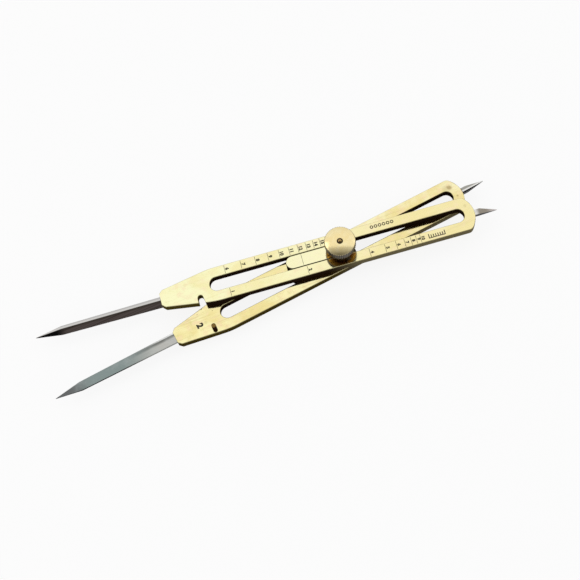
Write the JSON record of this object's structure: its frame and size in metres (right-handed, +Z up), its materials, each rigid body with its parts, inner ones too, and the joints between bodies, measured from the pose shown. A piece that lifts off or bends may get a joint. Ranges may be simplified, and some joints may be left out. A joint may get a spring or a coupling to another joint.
{
  "type": "proportional divider",
  "caption": "Brass proportional divider: two slotted legs with steel points, crossing on a sliding pivot that a knurled knob clamps.",
  "frame": {"origin": "on the pivot axis, on the underside of the pivot screw's head, where the divider rests", "axes": "+X halves the angle between the legs and points from the long points to the short points; +Z up, along the pivot, out of the knob; +Y completes them"},
  "size_m": [0.2278, 0.0342, 0.0211],
  "materials": {
    "leg_brass": "polished flats with fine scratches, darker sawn edges",
    "slide_brass": "polished",
    "knob_brass": "turned and polished, knurled rim",
    "screw_brass": "turned",
    "point_steel": "ground and polished"
  },
  "bodies": {
    "lower_leg": {"lower_leg": "leg_brass", "lower_long_point": "point_steel", "lower_short_point": "point_steel", "register_pin": "screw_brass"},
    "carriage": {"lower_slide": "slide_brass", "pivot_screw": "screw_brass"},
    "upper_slide": {"upper_slide": "slide_brass"},
    "upper_leg": {"upper_leg": "leg_brass", "upper_long_point": "point_steel", "upper_short_point": "point_steel"},
    "washer": {"clamp_washer": "screw_brass"},
    "knob": {"clamp_knob": "knob_brass"}
  },
  "joints": [
    {"name": "ratio_slide", "type": "slide", "parent": "lower_leg", "child": "carriage", "axis": [0.9943, 0.1065, 0], "range_m": [-0.03687, 0.0568]},
    {"name": "opening_hinge", "type": "hinge", "parent": "carriage", "child": "upper_slide", "pos_m": [0, 0, 0.00605], "axis": [0, 0, -1], "range_deg": [-12.23, 137.77]},
    {"name": "upper_ratio_slide", "type": "slide", "parent": "upper_slide", "child": "upper_leg", "axis": [0.9943, -0.1065, 0], "range_m": [-0.0569, 0.0369]},
    {"name": "knob_lift", "type": "slide", "parent": "carriage", "child": "washer", "axis": [0, 0, 1], "range_m": [0, 0.0012]},
    {"name": "knob_turn", "type": "hinge", "parent": "washer", "child": "knob", "pos_m": [0, 0, 0.015], "axis": [0, 0, 1], "range_deg": [0, 540]}
  ],
  "couplings": [
    {"joint": "upper_ratio_slide", "follows": "ratio_slide", "ratio": -1},
    {"joint": "knob_turn", "follows": "knob_lift", "rad_per_m": 7854}
  ]
}
